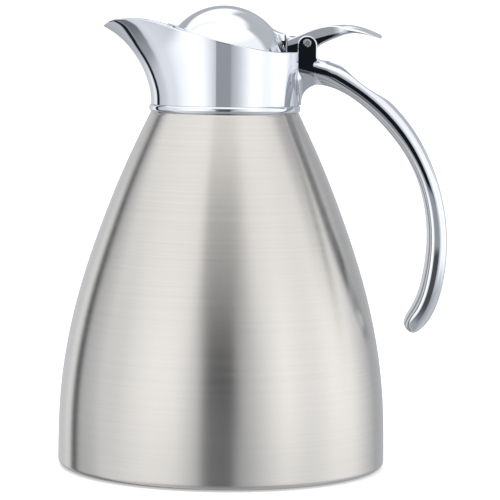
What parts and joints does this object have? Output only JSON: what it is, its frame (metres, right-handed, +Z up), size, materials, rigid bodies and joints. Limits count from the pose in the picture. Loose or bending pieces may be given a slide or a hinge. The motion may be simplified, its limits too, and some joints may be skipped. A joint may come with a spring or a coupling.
{
  "type": "vacuum coffee pot",
  "caption": "Double-walled steel coffee pot with a pouring collar, an open curved handle, and a sprung lid that a thumb lever lifts.",
  "frame": {"origin": "centre of the base's flat face, on the vessel's axis", "axes": "+Z up along the vessel's axis, +X towards the handle, the spout towards -X"},
  "size_m": [0.1769, 0.1496, 0.2105],
  "materials": {
    "brushed_steel": "fine horizontal brushing, satin",
    "plain_steel": "plain rolled or turned steel",
    "chrome": "mirror chrome",
    "black_plastic": "fine moulded texture",
    "silicone": "smooth moulded silicone",
    "black_rubber": "matt"
  },
  "bodies": {
    "pot": {"outer_shell": "brushed_steel", "inner_liner": "plain_steel", "outer_bottom": "plain_steel", "evacuation_seal": "plain_steel", "getter_pellet": "plain_steel", "base_pad": "black_rubber", "spout_collar": "chrome", "pour_insert": "black_plastic", "neck_gasket": "silicone", "handle": "chrome", "handle_screws": "plain_steel", "hinge_pin": "plain_steel", "lid_spring": "plain_steel"},
    "lever": {"lever": "chrome"},
    "lid": {"lid_dome": "chrome", "brim_seal": "silicone", "lid_plug": "black_plastic", "lid_screw": "plain_steel", "plug_cap": "black_plastic", "lid_gasket": "silicone"}
  },
  "joints": [
    {"name": "lever_press", "type": "hinge", "parent": "pot", "child": "lever", "pos_m": [0.0371, 0, 0.1941], "axis": [0, 1, 0], "range_deg": [0, 37], "stiffness_Nm_per_rad": 0.12, "springref_deg": -34.38},
    {"name": "lid_open", "type": "hinge", "parent": "lever", "child": "lid", "pos_m": [0.0371, 0, 0.1941], "axis": [0, 1, 0], "range_deg": [0, 75], "stiffness_Nm_per_rad": 0.05, "springref_deg": -34.38, "deforming": ["lid_spring"]}
  ]
}
